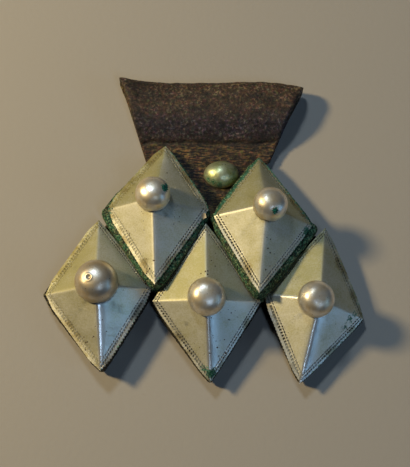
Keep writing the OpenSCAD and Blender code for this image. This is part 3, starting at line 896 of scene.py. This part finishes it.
def buildBacking():
    shape = hideShape
    bm = remeshed("leather_backing", shape["voxel"])
    names = {name: bm.verts.layers.float.new(name) for name in hideLayers}
    sleeve = [v for v in bm.verts if v.co.y > shape["smoothFrom"]]
    for _ in range(shape["smooths"]):
        bmesh.ops.smooth_vert(bm, verts=sleeve, factor=0.5, use_axis_x=True, use_axis_y=True, use_axis_z=True)
    bm.normal_update()
    bandUp, bandReach, bandStrength = shape["bandShade"]
    paleUp, paleReach, paleStrength = shape["pale"]
    wanderWide, wander = shape["foldWander"]
    patchWide, patchMean, patchSwing = shape["shadePatch"]
    seeds = shape["seeds"]
    moves = []
    for v in bm.verts:
        up = v.co.y - shape["flapLow"]
        onTop = clamped(v.co.z - 1.0)
        relief = unevenness(v.co, shape["wrinkles"], seeds["wrinkles"]) * onTop
        sway = shape["sway"] * smoothNoise(v.co.x, 0, 0, shape["swayWide"], seeds["sway"])
        below = shape["creaseUp"] + sway - up
        crease = bell(below, shape["creaseWide"])
        tongue = clamped(below / 2 + 0.5)
        wandered = below + wander * smoothNoise(v.co.x, v.co.y, 0, wanderWide, seeds["folds"])
        folds = math.cos(2 * math.pi * wandered / shape["foldPitch"]) * tongue
        folds *= math.exp(-max(0.0, below) / shape["foldRun"])
        if v.normal.z > 0.2:
            relief -= (folds * shape["foldDeep"] + crease * shape["creaseDeep"]) * onTop
        pull = Vector((0, 0, 0))
        for at, move, reach in shape["corners"]:
            pull += Vector((*move, 0)) * bell(math.dist((v.co.x, v.co.y), at), reach)
        moves.append((v, v.normal * relief + pull))
        edgeAt = shape["leftEdge"] + shape["leftSlope"] * (v.co.y - shape["leftTop"])
        paleLitEdge = clamped((edgeAt - v.co.x) / shape["leftWide"]) if up > shape["leftFrom"] else 0.0
        folded = max(0.0, folds - shape["foldShadeFrom"]) * shape["foldShade"]
        patch = patchMean + patchSwing * smoothNoise(*v.co, patchWide, seeds["dark"])
        v[names["tongue"]] = tongue * onTop
        # a band of violet-black painted shade across the middle of the sleeve
        v[names["shadedBand"]] = bandStrength * bell(up - bandUp, bandReach)
        # painted shade in the crease and in the troughs of the folds, in patches
        v[names["crease"]] = min(1.0, shape["creaseShade"] * crease + folded) * onTop * clamped(patch)
        v[names["red"]] = max(0.0, 1 - math.dist((v.co.x, v.co.y), shape["redAt"]) / shape["redReach"])
        # pale along the top fold and the left edge: rubbed, and partly painted highlight
        v[names["rubbed"]] = min(1.0, paleStrength * bell(up - paleUp, paleReach) + paleLitEdge)
    for v, move in moves:
        v.co += move
        v.co.z = max(v.co.z, 0)
    shadeSmooth(bm)
    return finishPiece(bm, "goatskin_backing", [goatskin], "hide", "leather_backing")


buildBacking()


# The oval stud on the tongue
studShape = {
    "width": 9.5, "length": 7.6, "rise": 3.4, "at": (4.4, 15.5, 2.9),
    # the pin's radius, the height of its foot, how far it reaches into the dome, and its sides
    "pin": 1.0, "pinLow": 0.1, "pinInto": 1.0, "pinSides": 24,
    "segments": (72, 36),
    "dents": ((2.4, 0.10), (1.0, 0.03)), "dentsFrom": 0.05, "seed": 8.8,
    "sharp": 40,
}
studGreen = [
    ((2.7, 12.0, 4.6), 1.0, 0.8), ((1.5, 12.7, 4.2), 0.9, 0.8), ((4.3, 11.5, 4.3), 1.1, 0.8),
    ((6.0, 11.8, 4.0), 0.8, 0.6), ((0.8, 13.9, 4.0), 0.6, 0.6),
]


def buildStud():
    shape = studShape
    centre = Vector(shape["at"]) - middle
    bm = bmesh.new()
    names = {name: bm.verts.layers.float.new(name) for name in ("seam", "green")}
    bmesh.ops.create_uvsphere(bm, u_segments=shape["segments"][0], v_segments=shape["segments"][1], radius=1)
    bmesh.ops.scale(bm, vec=(shape["width"] / 2, shape["length"] / 2, shape["rise"]), verts=bm.verts)
    bmesh.ops.bisect_plane(bm, geom=bm.verts[:] + bm.edges[:] + bm.faces[:],
                           plane_co=(0, 0, 0), plane_no=(0, 0, 1), clear_inner=True)
    under = bmesh.ops.edgeloop_fill(bm, edges=[e for e in bm.edges if e.is_boundary])["faces"]
    bmesh.ops.inset_region(bm, faces=under, thickness=shape["length"] / 2 - shape["pin"], depth=0)
    for v in bm.verts:
        if v.co.z > shape["dentsFrom"]:
            v.co += v.co.normalized() * unevenness(v.co, shape["dents"], shape["seed"])
        # height above the tongue; the material darkens the foot with grime and partly painted contact shade
        v[names["seam"]] = max(0.0, v.co.z)
        v[names["green"]] = spotStrength(v.co + centre, studGreen)
    low, high = shape["pinLow"] - centre.z, shape["pinInto"]
    bmesh.ops.create_cone(bm, cap_ends=True, segments=shape["pinSides"],
                          radius1=shape["pin"], radius2=shape["pin"], depth=high - low,
                          matrix=Matrix.Translation((0, 0, (low + high) / 2)))
    bmesh.ops.recalc_face_normals(bm, faces=bm.faces)
    shadeSmooth(bm, shape["sharp"])
    bmesh.ops.translate(bm, vec=centre, verts=bm.verts)
    return finishPiece(bm, "oval_stud", [studSilver], "stud_silver", "stud")


buildStud()


# Floor: plain pale paper, dry and finely grained
floorShape = {"half": 1.2, "paper": "#b9b0a3", "grain": 1.4, "bump": 0.05, "rough": 0.9}
material, tree, place, _ = newMaterial("pale_paper")
paper = addNode(tree, "TexNoise", {"Vector": place, "Scale": sized(floorShape["grain"]), "Detail": 3.0})
surface = {"Base Color": floorShape["paper"], "Roughness": floorShape["rough"]}
finishMaterial(material, paper, floorShape["bump"], surface)
bm = bmesh.new()
bmesh.ops.create_grid(bm, x_segments=1, y_segments=1, size=floorShape["half"])
floorMesh = bpy.data.meshes.new("floor")
bm.to_mesh(floorMesh)
bm.free()
floorMesh.materials.append(material)
floor = bpy.data.objects.new("floor", floorMesh)
scene.collection.objects.link(floor)

# Soft studio lights: a warm lamp to the left, a small cool spot above, two faint bluish fills from the
# right, and a tall bluish strip from below.
# from: direction to the light; far: distance in metres; size and tall: width and height in metres
lights = {
    "lamp": {"from": (-0.740, 0.198, 0.643), "far": 0.55, "size": 0.08,
             "power": 2.02, "colour": (1.0, 0.8, 0.44)},
    "spot": {"from": (-0.230, 0.494, 0.839), "far": 0.8, "size": 0.12,
             "power": 1.38, "colour": (0.64, 0.81, 1.0)},
    "window": {"from": (0.886, -0.413, 0.208), "far": 1.0, "size": 0.3,
               "power": 0.34, "colour": (0.3, 0.58, 1.0)},
    "side": {"from": (0.807, -0.262, 0.530), "far": 0.8, "size": 0.25,
             "power": 0.27, "colour": (0.34, 0.63, 1.0)},
    "sky": {"from": (0.262, -0.494, 0.829), "far": 0.8, "size": 0.08, "tall": 0.32,
            "power": 0.52, "colour": (0.45, 0.66, 1.0)},
}
for name, light in lights.items():
    data = bpy.data.lights.new(name, "AREA")
    data.shape = "ELLIPSE"
    data.size = light["size"]
    data.size_y = light.get("tall", light["size"])
    data.energy = light["power"]
    data.color = light["colour"]
    lamp = bpy.data.objects.new(name, data)
    aim = Vector(light["from"]).normalized()
    lamp.location = aim * light["far"]
    lamp.rotation_euler = aim.to_track_quat("Z", "Y").to_euler()
    scene.collection.objects.link(lamp)

room = {"colour": (0.25, 0.42, 1.0, 1), "strength": 0.003}  # almost dark, so that the lights shape the facets
world = bpy.data.worlds.new("room")
world.use_nodes = True
background = world.node_tree.nodes["Background"]
background.inputs["Color"].default_value = room["colour"]
background.inputs["Strength"].default_value = room["strength"]
scene.world = world
scene.view_settings.view_transform = "Standard"
print("floor and lights placed")
